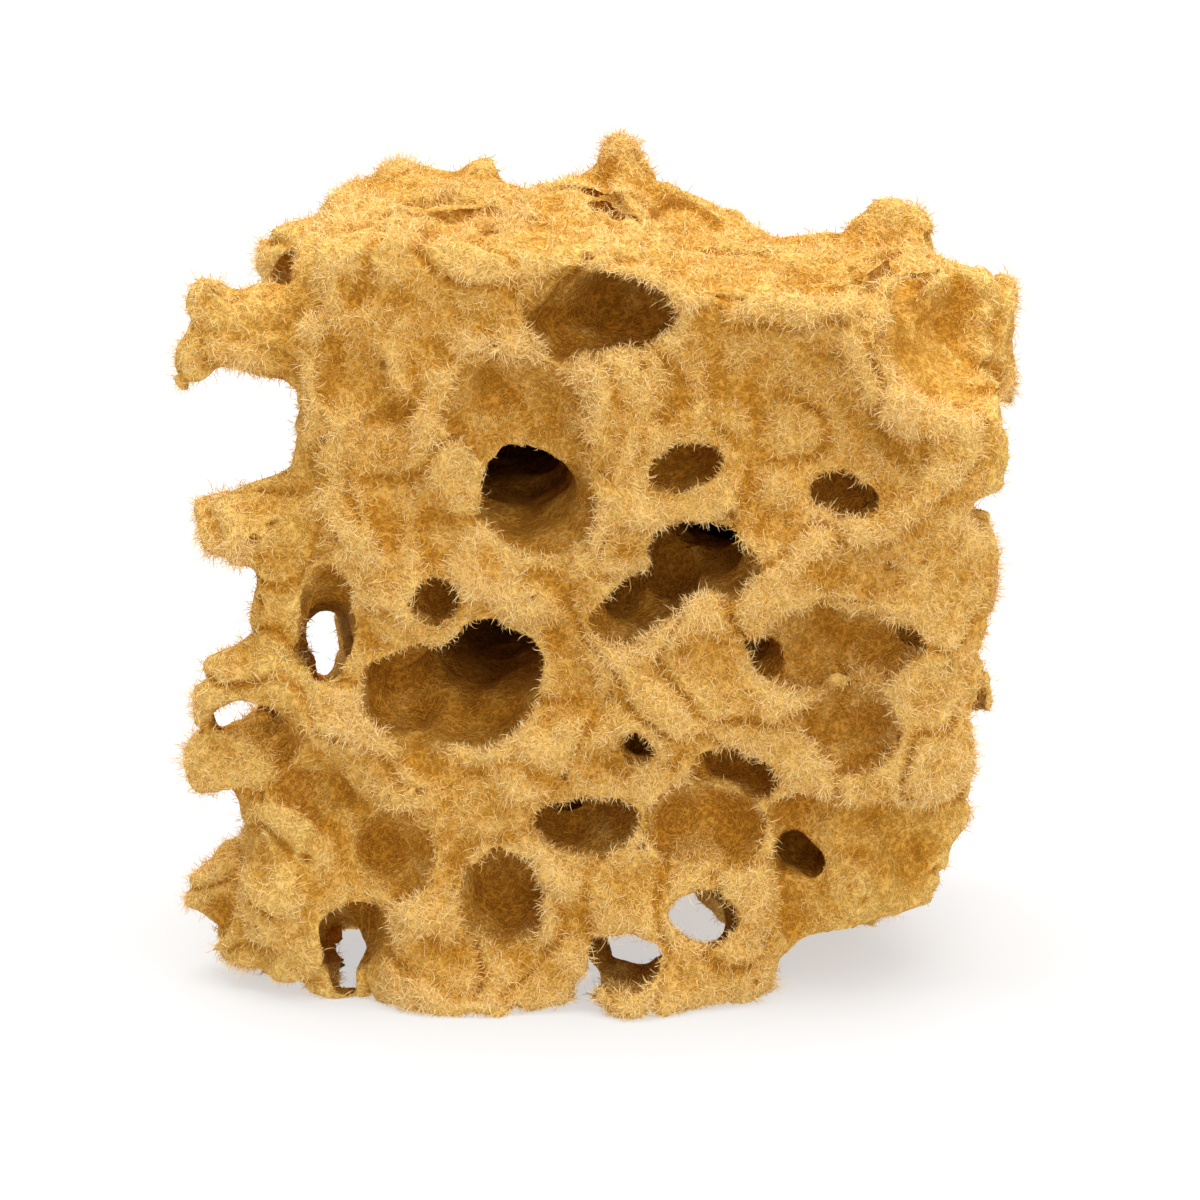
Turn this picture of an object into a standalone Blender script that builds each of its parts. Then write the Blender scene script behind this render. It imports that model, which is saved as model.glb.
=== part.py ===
"""Sea sponge: a bath-sized block cut from a honeycomb sponge, standing on its ragged underside.

The sponge grew as one piece, so it is one solid. It is made the way it grew and was cut: rounded
masses and the arms that stand out of them are fused into a block, and the water channels, caves,
hollows and pores are then taken out of the block.

All the lists below are in millimetres. X runs to the right, Y runs away from the front face, and Z is
up from the surface that the sponge stands on. The front face lies at about y = -34.
"""

import math
import random

import bmesh
import bpy
from mathutils import Euler, Matrix, Vector

MM = 0.001

NAME = "sponge"
TRIANGLES = 9400
FUSE_VOXEL = 1.1
FINE_VOXEL = 0.75
BLOCK_SMOOTHING = 5
WALL_SMOOTHING = 2
RIM_SMOOTHING = 4
LUMP_SCALE = 9.0
LUMP_HEIGHT = 2.6
WALL_RIPPLE_SCALE = 5.0
WALL_RIPPLE_HEIGHT = 1.1
GRAIN_SCALE = 2.6
GRAIN_HEIGHT = 0.9
SPONGE_COLOUR = (0.62, 0.37, 0.11, 1.0)
SPONGE_ROUGHNESS = 0.95

# Rounded blocks: centre (x, y, z), size (x, y, z), turns about X, Y and Z in degrees.
MASSES = (
    ((-12.3, -1.0, 57.8), (37.8, 65.0, 40.0), (-1.0, 0.0, 0.0)),
    ((18.0, -2.0, 53.2), (40.0, 60.0, 40.0), (-2.2, 0.6, 3.0)),
    ((3.2, -1.0, 34.0), (68.5, 63.0, 28.0), (0.0, 0.0, 0.0)),
    ((-14.0, 1.0, 12.5), (45.0, 62.0, 31.0), (0.0, 0.0, 0.0)),
    ((14.5, 4.0, 17.0), (37.0, 47.0, 30.0), (0.0, 0.0, 20.0)),
    ((23.6, -12.0, 18.0), (25.0, 24.0, 30.0), (0.0, 0.0, 40.0)),
    ((-3.0, -22.5, 13.0), (42.0, 24.0, 30.0), (0.0, 0.0, 0.0)),
)
MASS_ROUNDING = 5.0

# Lumps on the outside: centre (x, y, z), radii (x, y, z).
LUMPS = (
    ((-30.8, 8.0, 69.8), (5.6, 11.0, 5.2)),
    ((-19.6, 26.0, 73.4), (12.0, 7.0, 5.6)),
    ((-1.0, 28.0, 72.4), (10.0, 5.0, 6.0)),
    ((31.2, 21.0, 68.8), (6.0, 7.0, 7.6)),
    ((35.2, -7.0, 63.0), (7.4, 11.0, 9.2)),
    ((33.8, -6.0, 30.0), (7.3, 14.0, 16.0)),
    ((-8.0, -32.5, 24.5), (7.0, 4.0, 5.5)),
    ((8.0, -33.0, 32.0), (12.0, 3.0, 6.0)),
    ((-33.6, -16.0, 7.4), (7.2, 12.0, 7.8)),
    ((-30.0, -27.0, 12.0), (7.0, 6.0, 11.0)),
)

# Arms, struts, ridges and tongues: (x, y, z, radius) along each one.
ARMS = (
    ((-24.0, -25.0, 67.0, 6.9), (-31.0, -26.0, 67.7, 5.3), (-36.0, -26.5, 68.5, 4.3),
     (-40.4, -27.0, 68.4, 3.5)),
    ((-39.2, -27.0, 69.0, 3.0), (-40.0, -27.3, 72.6, 2.2), (-40.2, -27.5, 75.0, 1.4)),
    ((-39.6, -27.0, 68.4, 3.2), (-41.4, -27.0, 65.2, 2.8), (-42.0, -27.0, 61.4, 2.1)),
    ((-25.0, -26.0, 49.4, 7.6), (-32.0, -27.0, 49.0, 5.4), (-38.0, -28.0, 48.8, 4.4),
     (-40.6, -28.0, 48.6, 3.3)),
    ((-31.0, -27.0, 48.0, 4.4), (-32.4, -27.0, 40.6, 3.4), (-33.0, -27.0, 33.0, 4.2)),
    ((-27.0, -26.0, 32.4, 5.6), (-35.0, -27.0, 33.6, 3.9), (-40.6, -27.0, 33.0, 2.9)),
    ((-26.0, -22.0, 25.8, 5.4), (-34.0, -23.0, 24.2, 4.8), (-39.8, -24.0, 23.6, 3.9),
     (-41.8, -24.0, 20.8, 2.8)),
    ((-40.0, -27.0, 32.4, 2.0), (-41.0, -26.0, 29.0, 1.7), (-40.6, -25.0, 26.0, 2.0)),
    ((-33.0, -20.0, 11.0, 4.4), (-38.5, -19.0, 9.6, 3.1), (-43.8, -18.5, 8.2, 1.8)),
    ((-34.0, -24.0, 7.0, 4.0), (-38.0, -24.0, 4.2, 2.8), (-40.6, -24.0, 2.6, 1.6)),
    ((2.0, 28.5, 75.0, 4.6), (2.4, 29.0, 79.5, 3.2), (1.8, 29.5, 83.6, 1.7)),
    ((4.0, 28.5, 75.6, 3.6), (8.0, 28.5, 73.8, 3.0), (12.0, 28.5, 70.9, 2.8), (18.6, 28.5, 71.6, 2.2)),
    ((18.6, 28.5, 71.0, 2.8), (18.8, 28.5, 73.8, 2.3), (19.4, 28.5, 75.6, 1.7)),
    ((-13.4, 28.0, 77.0, 2.4), (-13.0, 28.0, 79.2, 1.6), (-12.6, 28.0, 80.6, 1.0)),
    ((36.0, -14.0, 69.4, 3.6), (40.0, -9.0, 69.4, 2.7), (40.6, -3.0, 68.8, 2.4)),
    ((40.0, -10.0, 69.4, 2.9), (40.8, -10.0, 62.0, 2.4), (38.8, -12.0, 54.0, 2.0)),
    ((-28.0, -31.4, 75.6, 2.8), (-8.0, -31.8, 75.4, 2.8), (10.0, -31.4, 71.8, 2.8),
     (27.0, -30.6, 70.2, 2.8)),
    ((-27.0, -31.8, 72.0, 3.4), (-26.4, -32.4, 60.0, 3.4), (-25.0, -31.8, 48.0, 3.2)),
    ((-18.0, -32.0, 55.0, 2.8), (-15.4, -32.4, 63.0, 2.8), (-6.0, -32.6, 67.0, 2.6),
     (1.6, -32.6, 63.6, 3.0),
     (3.0, -32.6, 54.0, 3.0), (-1.0, -32.6, 46.0, 2.8), (-12.0, -32.4, 44.4, 2.6)),
    ((26.6, -31.0, 70.0, 3.0), (26.4, -31.6, 64.6, 3.2), (31.0, -31.0, 61.0, 3.4),
     (37.6, -28.6, 59.6, 2.9)),
    ((36.6, -28.6, 59.8, 2.8), (38.8, -27.2, 56.0, 2.2), (39.6, -26.5, 51.5, 1.5)),
    ((-1.0, -32.6, 36.6, 3.4), (8.0, -32.8, 40.4, 3.2), (16.0, -32.8, 44.8, 3.4), (27.0, -32.0, 50.0, 3.4),
     (36.0, -29.0, 56.4, 3.2)),
    ((-30.0, -31.4, 30.0, 3.2), (-18.0, -32.8, 29.0, 2.8), (-8.0, -33.4, 27.4, 3.2),
     (0.0, -33.2, 29.0, 2.8),
     (12.0, -32.8, 31.0, 2.8), (22.0, -31.6, 33.0, 2.6)),
    ((12.0, -32.6, 39.0, 2.6), (20.0, -32.4, 42.0, 2.6), (30.0, -30.6, 41.6, 3.0),
     (36.0, -26.0, 38.0, 3.0)),
    ((-18.2, -31.6, 43.0, 3.0), (-18.4, -33.0, 38.6, 2.0), (-18.4, -33.8, 35.4, 1.0)),
    ((6.0, -32.0, 13.0, 2.6), (5.4, -34.0, 7.0, 2.2), (4.0, -36.0, 1.0, 2.8)),
    ((-1.6, -32.0, 11.0, 2.2), (-1.4, -33.5, 5.0, 1.9), (2.6, -36.6, -0.6, 2.8)),
    ((2.6, -36.0, -0.2, 2.8), (9.0, -32.0, 1.8, 3.3), (13.6, -27.4, 2.6, 3.2), (16.4, -21.0, 2.8, 2.6)),
    ((13.0, -31.0, 14.0, 4.0), (15.6, -29.0, 8.0, 3.2), (16.4, -25.0, 3.0, 2.8)),
    ((-22.0, -31.4, 2.8, 3.8), (-12.0, -33.2, 1.0, 4.2), (-5.0, -31.6, 3.2, 3.6)),
    ((28.0, -3.0, 14.0, 5.4), (27.0, 1.0, 5.6, 4.4), (26.4, 2.6, -1.0, 3.6)),
    ((22.0, -18.0, 14.0, 3.4), (23.6, -16.0, 9.0, 2.2)),
)

# Open hollows on the outside: centre (x, y, z), radii (x, y, z).
HOLLOWS = (
    ((-3.6, -36.4, 71.0), (4.8, 5.8, 5.2)),
    ((-8.6, -38.0, 60.8), (8.2, 9.2, 6.4)),
    ((-7.8, -36.8, 57.6), (6.4, 7.6, 4.4)),
    ((25.0, -37.8, 56.0), (10.0, 6.4, 5.6)),
    ((36.6, -31.6, 69.4), (8.8, 13.4, 8.4)),
    ((23.2, -34.4, 36.8), (9.2, 7.4, 4.3)),
    ((25.0, -33.4, 28.6), (4.8, 6.2, 4.2)),
    ((-21.8, -36.6, 15.8), (4.8, 8.2, 4.5)),
    ((-14.4, -33.4, 33.8), (4.8, 7.6, 4.2)),
    ((-18.0, -34.0, 32.2), (6.4, 11.0, 4.6)),
    ((-13.0, -34.0, 31.2), (5.6, 10.0, 4.0)),
    ((10.6, -36.0, 19.4), (6.8, 7.6, 4.2)),
    ((22.6, -26.0, 75.2), (5.2, 7.0, 4.2)),
    ((4.0, -38.0, 46.6), (6.0, 5.0, 3.4)),
    ((-21.0, -37.4, 50.0), (2.6, 5.0, 7.0)),
    ((10.0, -38.0, 64.0), (6.6, 5.4, 7.0)),
    ((-24.0, -38.6, 66.0), (7.0, 6.0, 6.0)),
    ((-30.0, -35.0, 21.6), (5.6, 7.0, 3.0)),
    ((43.6, -2.0, -3.8), (15.0, 44.0, 15.4)),
    ((45.0, -6.0, 4.4), (11.8, 30.0, 13.6)),
    ((22.4, -13.0, -1.4), (5.0, 20.0, 9.6)),
    ((29.0, -17.0, -2.0), (14.0, 16.0, 8.9)),
    ((45.0, -40.0, 30.0), (12.0, 15.0, 30.0)),
    ((38.6, -20.0, 50.4), (1.9, 14.0, 1.4)),
    ((21.5, 26.0, 75.6), (7.0, 9.0, 4.2)),
    ((-38.0, -27.0, -2.6), (10.0, 11.0, 5.0)),
    ((28.6, -37.0, 45.0), (9.0, 5.6, 3.4)),
)

# Water channels and caves: flattening in Z, lean to the right in degrees, (x, y, z, radius) along each.
CHANNELS = (
    ("upper bay", 0.64, -6.0, ((0.0, -40.0, 70.6, 5.8), (0.8, -33.0, 71.0, 6.3), (2.4, -27.4, 70.8, 5.8),
                               (3.6, -24.0, 70.4, 4.0))),
    ("upper bay floor", 0.7, 0.0, ((-5.0, -38.0, 69.6, 3.4), (-4.2, -31.0, 69.8, 3.0),
                                   (-2.0, -27.0, 70.0, 2.4))),
    ("central channel", 0.84, 8.0, ((-6.4, -40.0, 51.4, 6.3), (-6.8, -34.0, 51.7, 6.2),
                                    (-8.0, -28.0, 52.6, 4.6),
                                    (-8.6, -23.0, 52.8, 3.6))),
    ("central channel depth", 0.66, 4.0, ((-8.2, -27.6, 53.9, 4.6), (-8.8, -20.0, 53.5, 4.6),
                                          (-9.2, -8.0, 54.2, 4.2),
                                          (-8.0, 4.0, 54.4, 4.2), (-6.0, 14.0, 53.0, 3.6))),
    ("brow slot", 0.60, -6.0, ((8.6, -38.0, 55.2, 3.5), (8.2, -32.0, 55.4, 3.7), (7.2, -26.6, 56.4, 3.0))),
    ("right pore", 0.50, 12.0, ((23.2, -38.0, 52.3, 3.0), (23.4, -32.0, 52.5, 3.1),
                                (24.0, -26.0, 53.4, 2.3))),
    ("heart channel", 0.66, 10.0, ((9.8, -40.0, 46.0, 5.2), (9.6, -33.0, 46.2, 5.3),
                                   (9.4, -26.0, 46.8, 4.8), (11.6, -18.0, 47.4, 3.0),
                                   (12.0, -4.0, 46.0, 3.0), (12.0, 12.0, 42.0, 3.0))),
    ("heart pocket", 1.0, 0.0, ((6.4, -34.0, 42.6, 2.0), (6.6, -27.0, 42.8, 2.2), (7.0, -20.0, 44.0, 1.8))),
    ("heart cave", 0.62, -24.0, ((2.8, -40.0, 40.4, 4.3), (3.2, -33.0, 41.0, 4.4), (4.2, -28.0, 42.0, 3.6),
                                 (0.0, -22.0, 42.4, 1.8))),
    ("left cave", 0.84, -6.0, ((-11.6, -40.0, 35.0, 5.6), (-11.4, -33.0, 35.0, 5.8),
                               (-11.8, -25.0, 35.3, 5.5),
                               (-11.2, -15.0, 36.0, 4.6), (-9.0, 6.0, 36.0, 3.9), (-6.0, 22.0, 34.0, 3.8),
                               (-5.0, 38.0, 33.0, 4.0))),
    ("small arch", 0.66, -12.0, ((-17.0, -38.0, 41.6, 2.7), (-16.9, -32.4, 42.0, 2.5),
                                 (-16.6, -28.4, 42.6, 1.9))),
    ("window", 2.3, 4.0, ((-27.4, -40.0, 40.6, 2.9), (-27.9, -32.6, 39.6, 2.8), (-28.3, -26.0, 36.2, 1.7),
                          (-29.3, -8.0, 32.7, 1.6), (-30.2, 12.0, 28.8, 1.7), (-31.5, 38.0, 23.7, 2.2))),
    ("lower channel", 0.66, -10.0, ((-1.2, -38.0, 19.3, 4.6), (-1.4, -32.0, 19.5, 4.6),
                                    (-2.4, -27.6, 20.2, 3.2))),
    ("lower channel depth", 1.0, 0.0, ((-3.6, -31.0, 20.8, 1.5), (-5.0, -14.0, 21.4, 1.8),
                                       (-8.0, 4.0, 20.0, 2.2))),
    ("foot cave", 1.15, 0.0, ((-10.4, -40.0, 11.2, 4.0), (-10.0, -33.6, 11.8, 4.3),
                              (-9.2, -28.6, 13.2, 3.0))),
    ("top valley near", 1.0, 0.0, ((-34.0, -20.0, 79.6, 3.6), (-14.0, -21.5, 80.6, 4.2),
                                   (-1.0, -20.5, 80.0, 4.4),
                                   (12.0, -19.0, 76.2, 4.0), (34.0, -15.0, 75.4, 3.6))),
    ("top valley far", 1.0, 0.0, ((-34.0, 14.0, 80.0, 3.6), (-16.0, 13.0, 81.0, 4.8),
                                  (0.0, 12.0, 80.0, 4.8),
                                  (14.0, 10.0, 76.6, 4.4), (32.0, 8.0, 75.4, 3.6))),
    ("seam slot", 0.5, -10.0, ((3.8, -38.0, 26.9, 1.9), (3.6, -30.0, 27.2, 2.0), (3.0, -22.0, 28.0, 1.2))),
    ("crescent slot", 0.42, 18.0, ((13.4, -38.0, 23.4, 4.8), (13.8, -32.0, 23.8, 4.6),
                                   (14.4, -26.0, 25.0, 3.0))),
    ("lens cave left pore", 1.0, 0.0, ((16.2, -34.0, 36.0, 1.5), (15.4, -26.0, 36.4, 1.5),
                                       (14.6, -20.0, 36.8, 0.9))),
    ("lens cave right pore", 0.8, 0.0, ((30.4, -32.0, 38.0, 1.3), (31.4, -25.0, 38.4, 1.2),
                                        (32.0, -20.0, 38.8, 0.9))),
    ("lower left arch", 0.9, -10.0, ((-24.2, -38.0, 8.4, 3.7), (-25.2, -31.0, 7.2, 3.3),
                                     (-28.4, -23.0, 4.4, 1.5), (-27.4, -12.0, 2.0, 2.7),
                                     (-19.0, 4.0, 1.8, 5.4), (-16.0, 20.0, 1.6, 5.4),
                                     (-16.0, 38.0, 1.0, 4.6))),
    ("foot arch", 0.84, 8.0, ((1.8, -42.0, 5.6, 3.7), (2.2, -33.0, 5.4, 3.6), (3.7, -25.0, 5.0, 2.7),
                              (4.0, -17.0, 3.6, 4.8), (4.0, 2.0, 2.0, 6.4), (5.0, 20.0, 1.2, 6.0),
                              (6.0, 38.0, 1.0, 5.0))),
    ("right foot arch", 0.70, 12.0, ((10.2, -40.0, 10.0, 3.4), (10.0, -32.0, 9.6, 3.4),
                                     (8.6, -22.0, 6.4, 4.2),
                                     (6.0, -2.0, 2.6, 5.4))),
    ("foot gap", 1.8, 0.0, ((-2.0, -38.0, 1.0, 1.4), (-2.0, -28.0, 1.6, 1.6), (-1.0, -14.0, 2.0, 3.4))),
    ("left foot gap", 1.8, -8.0, ((-26.4, -36.0, 1.6, 1.2), (-26.4, -26.0, 2.0, 1.4),
                                  (-24.0, -14.0, 2.4, 3.0))),
    ("corner slit", 0.4, 38.0, ((20.2, -38.0, 13.8, 3.0), (20.4, -26.0, 14.2, 3.0),
                                (20.0, -16.0, 14.0, 1.6))),
    ("seam groove left", 0.34, -6.0, ((-35.0, -30.0, 25.0, 3.2), (-28.0, -34.4, 25.0, 3.6),
                                      (-20.0, -36.0, 25.2, 3.6),
                                      (-13.0, -37.0, 26.0, 2.8))),
    ("seam groove right", 0.34, 0.0, ((-4.0, -36.8, 23.6, 2.0), (3.0, -36.6, 26.0, 2.9),
                                      (10.0, -37.0, 27.4, 2.7),
                                      (16.0, -37.6, 28.4, 1.8))),
)

# Pores on the front: (x, z, radius, depth) at the front face.
FRONT_PORES = (
    (-3.2, 69.0, 0.9, 13.0), (-21.4, 58.6, 1.6, 7.0), (-20.2, 70.2, 1.1, 4.0), (0.5, 64.0, 0.8, 4.0),
    (15.0, 63.9, 1.7, 6.0),
    (9.4, 62.6, 0.8, 3.0), (-18.6, 26.6, 1.0, 5.0), (-16.6, 24.2, 1.1, 6.0), (-28.4, 20.8, 1.1, 5.0),
    (7.2, 18.4, 1.2, 9.0), (20.0, 19.0, 1.0, 8.0), (25.2, 27.4, 1.1, 12.0), (-5.8, 27.0, 0.9, 4.0),
    (31.2, 69.0, 1.0, 24.0), (-18.0, 32.1, 1.4, 14.0), (-14.6, 7.0, 1.3, 9.0), (11.6, 17.8, 1.0, 10.0),
    (-4.0, 66.4, 0.9, 10.0), (12.4, 40.4, 0.9, 4.0), (-15.6, 66.0, 0.8, 3.0), (19.4, 46.0, 0.8, 3.0),
)

# The faces that the photograph doesn't show: middle, half its width, half its height, the way in, hollows
# across and up, and how deep they are for their width.
HIDDEN_FACES = (
    ((2.0, 31.0, 39.0), (35.0, 0.0, 0.0), (0.0, 0.0, 35.0), (0.0, -1.0, 0.0), 6, 6, 1.0),
    ((-31.5, 5.0, 42.0), (0.0, 23.0, 0.0), (0.0, 0.0, 31.0), (1.0, 0.0, 0.0), 4, 5, 0.9),
    ((37.8, 4.0, 44.0), (0.0, 22.0, 0.0), (0.0, 0.0, 27.0), (-1.0, 0.0, 0.0), 4, 5, 0.8),
    ((3.0, 2.0, 76.0), (28.0, 0.0, -1.0), (0.0, 21.0, -0.5), (0.0, 0.0, -1.0), 4, 3, 0.6),
    ((0.0, 4.0, 1.0), (25.0, 0.0, 0.0), (0.0, 22.0, 0.0), (0.0, 0.0, 1.0), 4, 4, 0.7),
)
HOLLOW_RADII = (3.8, 7.0)
HOLLOW_STRETCH = (0.75, 1.35)
HOLLOW_JITTER = 0.42
CHANNEL_SHARE = 0.62
CHANNEL_LENGTHS = (9.0, 19.0)
CHANNEL_DRIFT = 5.0
HIDDEN_SEED = 5

SMALL_PORES = 56
SMALL_PORE_RADII = (0.9, 1.7)
SMALL_PORE_DEPTH = 6.0
SMALL_PORE_SEED = 11
FRONT_Y = -34.0


def clear_scene():
    """Leave an empty scene."""
    for obj in list(bpy.data.objects):
        bpy.data.objects.remove(obj, do_unlink=True)


def new_collection(name):
    collection = bpy.data.collections.new(name)
    bpy.context.scene.collection.children.link(collection)
    return collection


def sponge_material():
    """Plain golden fibre, dull all over."""
    material = bpy.data.materials.new("sponge_fibre")
    material.use_nodes = True
    shader = material.node_tree.nodes["Principled BSDF"]
    shader.inputs["Base Color"].default_value = SPONGE_COLOUR
    shader.inputs["Roughness"].default_value = SPONGE_ROUGHNESS
    shader.inputs["Metallic"].default_value = 0.0
    return material


def mesh_object(name, mesh, collection):
    obj = bpy.data.objects.new(name, mesh)
    collection.objects.link(obj)
    return obj


def evaluated(obj, name):
    """The object's mesh as the viewport shows it, with its modifiers and its place built in."""
    bpy.context.view_layer.update()
    graph = bpy.context.evaluated_depsgraph_get()
    mesh = bpy.data.meshes.new_from_object(obj.evaluated_get(graph))
    mesh.name = name
    mesh.transform(obj.matrix_world)
    return mesh


def add_mesh(into, mesh):
    """Add a mesh's faces to a bmesh and drop the mesh."""
    into.from_mesh(mesh)
    bpy.data.meshes.remove(mesh)


def rounded_block(centre, size, turns):
    """A block with round edges, turned by degrees about X, Y and Z."""
    form = bmesh.new()
    bmesh.ops.create_cube(form, size=1.0)
    bmesh.ops.scale(form, vec=Vector(size) * MM, verts=form.verts)
    bmesh.ops.bevel(
        form, geom=form.edges[:], offset=MASS_ROUNDING * MM, segments=4, profile=0.5, affect="EDGES"
    )
    turned = Euler([math.radians(turn) for turn in turns]).to_matrix().to_4x4()
    place = Matrix.Translation(Vector(centre) * MM) @ turned
    bmesh.ops.transform(form, matrix=place, verts=form.verts)
    mesh = bpy.data.meshes.new("block")
    form.to_mesh(mesh)
    form.free()
    return mesh


def ellipsoid(centre, radii):
    form = bmesh.new()
    bmesh.ops.create_uvsphere(form, u_segments=20, v_segments=12, radius=1.0)
    place = Matrix.Translation(Vector(centre) * MM) @ Matrix.Diagonal((*(Vector(radii) * MM), 1.0))
    bmesh.ops.transform(form, matrix=place, verts=form.verts)
    mesh = bpy.data.meshes.new("ellipsoid")
    form.to_mesh(mesh)
    form.free()
    return mesh


def tube(points, collection, flatten=1.0, lean=0.0):
    """A closed tube along a smooth line, flattened in Z and leaned about its first point."""
    curve = bpy.data.curves.new("tube", "CURVE")
    curve.dimensions = "3D"
    curve.bevel_depth = MM
    curve.bevel_resolution = 3
    curve.resolution_u = 4
    curve.use_fill_caps = True
    spline = curve.splines.new("BEZIER")
    spline.bezier_points.add(len(points) - 1)
    start = Vector(points[0][:3]) * MM
    shape = Matrix.Rotation(math.radians(lean), 4, "Y") @ Matrix.Diagonal((1.0, 1.0, flatten, 1.0))
    unshape = shape.inverted()
    for knot, point in zip(spline.bezier_points, points):
        knot.co = unshape @ (Vector(point[:3]) * MM - start)
        knot.radius = point[3]
        knot.handle_left_type = "AUTO"
        knot.handle_right_type = "AUTO"
    obj = mesh_object("tube", curve, collection)
    obj.matrix_world = Matrix.Translation(start) @ shape
    mesh = evaluated(obj, "tube")
    bpy.data.objects.remove(obj)
    bpy.data.curves.remove(curve)
    welded = bmesh.new()
    welded.from_mesh(mesh)
    bmesh.ops.remove_doubles(welded, verts=welded.verts, dist=0.00001)
    bmesh.ops.recalc_face_normals(welded, faces=welded.faces)
    welded.to_mesh(mesh)
    welded.free()
    return mesh


def straight_pore(mouth, inward, radius, depth):
    """A short tapering round pore that starts just outside its mouth."""
    form = bmesh.new()
    length = depth + radius
    bmesh.ops.create_cone(
        form, cap_ends=True, segments=10, radius1=radius * MM, radius2=0.45 * radius * MM, depth=length * MM
    )
    inward = Vector(inward).normalized()
    middle = Vector(mouth) + inward * (length / 2 - radius)
    place = Matrix.Translation(middle * MM) @ inward.to_track_quat("Z", "Y").to_matrix().to_4x4()
    bmesh.ops.transform(form, matrix=place, verts=form.verts)
    mesh = bpy.data.meshes.new("pore")
    form.to_mesh(mesh)
    form.free()
    return mesh


def clouds(name, scale):
    """A soft noise texture with features of about that size in millimetres."""
    texture = bpy.data.textures.new(name, "CLOUDS")
    texture.noise_scale = scale * MM
    texture.noise_depth = 1
    return texture


def add_remesh(obj, voxel):
    modifier = obj.modifiers.new("fuse", "REMESH")
    modifier.mode = "VOXEL"
    modifier.voxel_size = voxel * MM
    modifier.adaptivity = 0.0


def add_ripple(obj, name, scale, height):
    modifier = obj.modifiers.new(name, "DISPLACE")
    modifier.texture = clouds(name, scale)
    modifier.strength = height * MM
    modifier.mid_level = 0.5


def add_smooth(obj, turns):
    modifier = obj.modifiers.new("soften", "SMOOTH")
    modifier.factor = 0.5
    modifier.iterations = turns


def grown_block(collection):
    """The block before its channels: masses, lumps and arms fused, with a lumpy skin."""
    form = bmesh.new()
    for centre, size, turns in MASSES:
        add_mesh(form, rounded_block(centre, size, turns))
    for centre, radii in LUMPS:
        add_mesh(form, ellipsoid(centre, radii))
    for points in ARMS:
        add_mesh(form, tube(points, collection))
    mesh = bpy.data.meshes.new("block")
    form.to_mesh(mesh)
    form.free()
    block = mesh_object("block", mesh, collection)
    add_remesh(block, FUSE_VOXEL)
    add_smooth(block, BLOCK_SMOOTHING)
    add_ripple(block, "lumps", LUMP_SCALE, LUMP_HEIGHT)
    return block


def hidden_hollows(collection, form):
    """Seeded hollows in staggered rows over the faces out of sight, with a channel leading in from most."""
    pick = random.Random(HIDDEN_SEED)
    for middle, across, up, inward, columns, rows, depth in HIDDEN_FACES:
        middle, across, up, inward = Vector(middle), Vector(across), Vector(up), Vector(inward)
        for row in range(rows):
            for column in range(columns):
                stagger = 0.25 if row % 2 else -0.25
                u = (2 * (column + stagger + pick.uniform(-HOLLOW_JITTER, HOLLOW_JITTER)) + 1) / columns - 1
                v = (2 * (row + pick.uniform(-HOLLOW_JITTER, HOLLOW_JITTER)) + 1) / rows - 1
                mouth = middle + across * u + up * v
                radius = pick.uniform(*HOLLOW_RADII)
                stretch = pick.uniform(*HOLLOW_STRETCH)
                bowl = ellipsoid((0, 0, 0), (radius * stretch, radius / stretch, radius * depth))
                turn = Matrix.Rotation(pick.uniform(0.0, math.pi), 4, "Z")
                facing = inward.to_track_quat("Z", "Y").to_matrix().to_4x4()
                bowl.transform(Matrix.Translation(mouth * MM) @ facing @ turn)
                add_mesh(form, bowl)
                if pick.random() < CHANNEL_SHARE:
                    add_mesh(form, winding_channel(mouth, inward, radius, collection, pick))


def winding_channel(mouth, inward, radius, collection, pick):
    """A narrowing channel that leads in from a hollow and wanders off to one side."""
    length = pick.uniform(*CHANNEL_LENGTHS)
    drift = Vector([pick.uniform(-CHANNEL_DRIFT, CHANNEL_DRIFT) for _ in range(3)])
    middle = mouth + inward * (0.5 * length) + drift * 0.5
    end = mouth + inward * length + drift * 1.4
    points = ((*mouth, 0.62 * radius), (*middle, 0.5 * radius), (*end, 0.28 * radius))
    return tube(points, collection, pick.uniform(0.7, 1.2))


def small_pore_list():
    """Seeded pores over the back, the sides, the top and the underside, each pointing inwards."""
    pick = random.Random(SMALL_PORE_SEED)
    pores = []
    for _ in range(SMALL_PORES):
        face = pick.choice(("back", "left", "right", "top", "top", "under"))
        u, v = pick.uniform(-0.8, 0.8), pick.uniform(-0.8, 0.8)
        mouth, inward = {
            "back": ((34 * u, 32, 40 + 34 * v), (0.3 * v, -1.0, 0.2 * u)),
            "left": ((-31, 30 * u, 42 + 32 * v), (1.0, 0.3 * v, 0.2 * u)),
            "right": ((39, 28 * u, 42 + 30 * v), (-1.0, 0.3 * v, 0.2 * u)),
            "top": ((32 * u, 30 * v, 76), (0.3 * v, 0.2 * u, -1.0)),
            "under": ((30 * u, 26 * v, 2), (0.3 * v, 0.2 * u, 1.0)),
        }[face]
        pores.append((mouth, inward, pick.uniform(*SMALL_PORE_RADII), SMALL_PORE_DEPTH))
    return pores


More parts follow.
